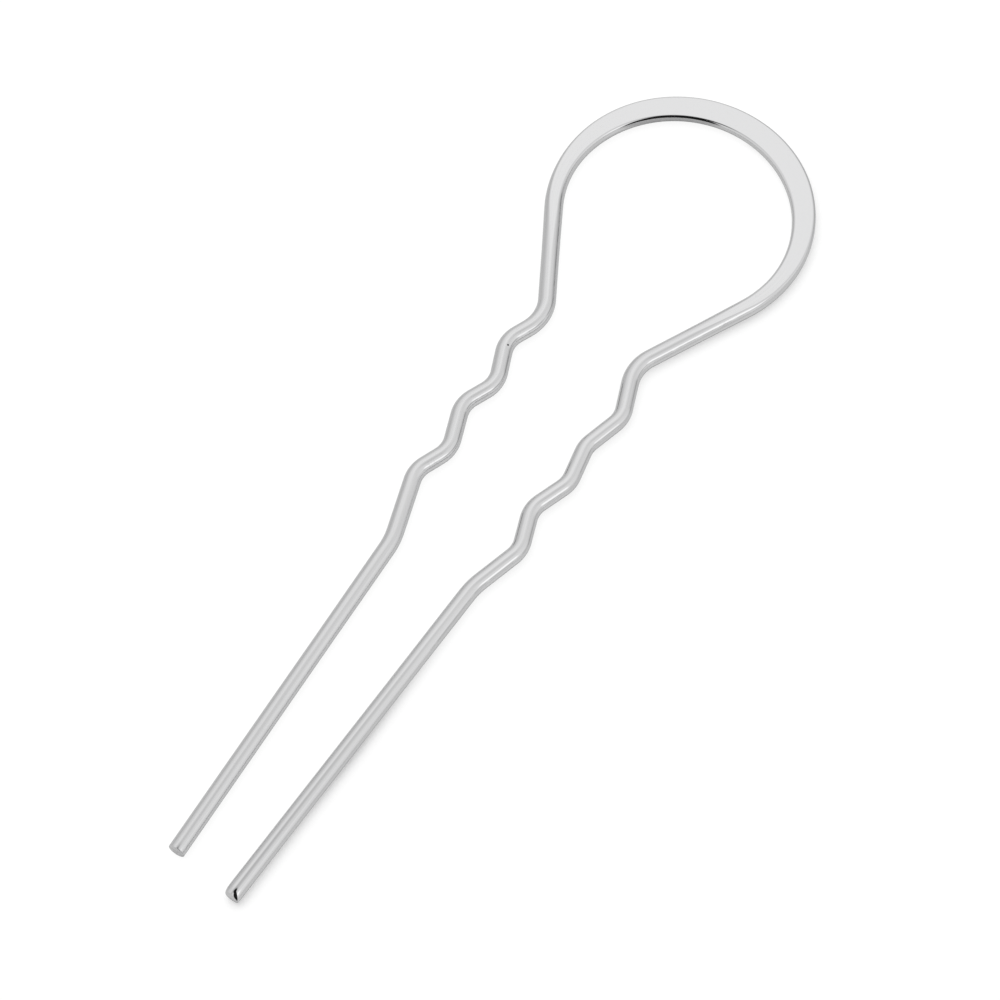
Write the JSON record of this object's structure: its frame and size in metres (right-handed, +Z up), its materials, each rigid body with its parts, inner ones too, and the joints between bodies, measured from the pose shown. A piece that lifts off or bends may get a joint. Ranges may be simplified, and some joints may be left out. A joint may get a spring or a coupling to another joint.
{
  "type": "french hair pin",
  "caption": "Two-legged hair pin of round silver wire: a keyhole bow forged flat at its top, mirrored waves below the neck, and long straight blunt-tipped legs.",
  "frame": {"origin": "middle of the pin's length and width, on the surface that it lies on", "axes": "+Y along the pin from its tips to its bow, +X across the two legs, +Z up from the surface"},
  "size_m": [0.033, 0.1184, 0.002],
  "materials": {
    "silver": "hand-polished plain silver, uncoated"
  },
  "bodies": {
    "root": {"hair_pin": "silver"}
  },
  "joints": []
}
